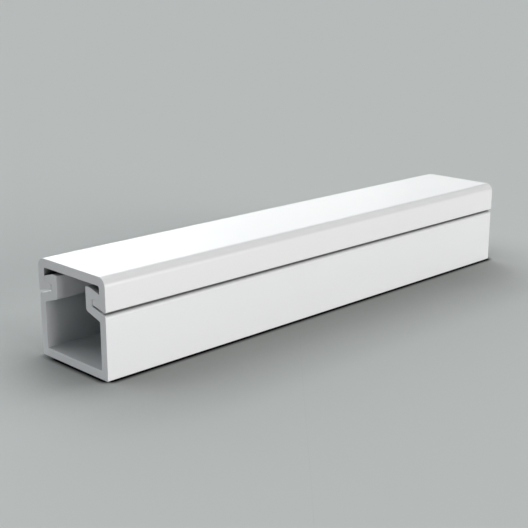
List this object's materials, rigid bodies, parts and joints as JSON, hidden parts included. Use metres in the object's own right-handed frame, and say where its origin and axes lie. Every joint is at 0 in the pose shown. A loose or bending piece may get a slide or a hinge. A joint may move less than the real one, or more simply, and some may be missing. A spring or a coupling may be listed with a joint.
{
  "type": "cord cover raceway",
  "caption": "Short length of square mini trunking: a C-shaped channel with a cover snapped over its two barbed limbs, open at both ends for a cord.",
  "frame": {"origin": "mid-length, on the centre line of the channel's flat back", "axes": "+X along the length, towards the end that is far in the picture; +Z from the flat back to the cover's face; -Y is the long side that the picture shows"},
  "size_m": [0.1, 0.0174, 0.0162],
  "materials": {
    "channel_plastic": "white rigid PVC as extruded, satin, with fine die lines along the length",
    "cover_plastic": "white rigid PVC as extruded, satin, with fine die lines along the length"
  },
  "bodies": {
    "channel": {"base_channel": "channel_plastic"},
    "cover": {"snap_lid": "cover_plastic"}
  },
  "joints": [
    {"name": "cover_slide", "type": "slide", "parent": "channel", "child": "cover", "axis": [1, 0, 0], "range_m": [-0.08, 0.08]}
  ]
}
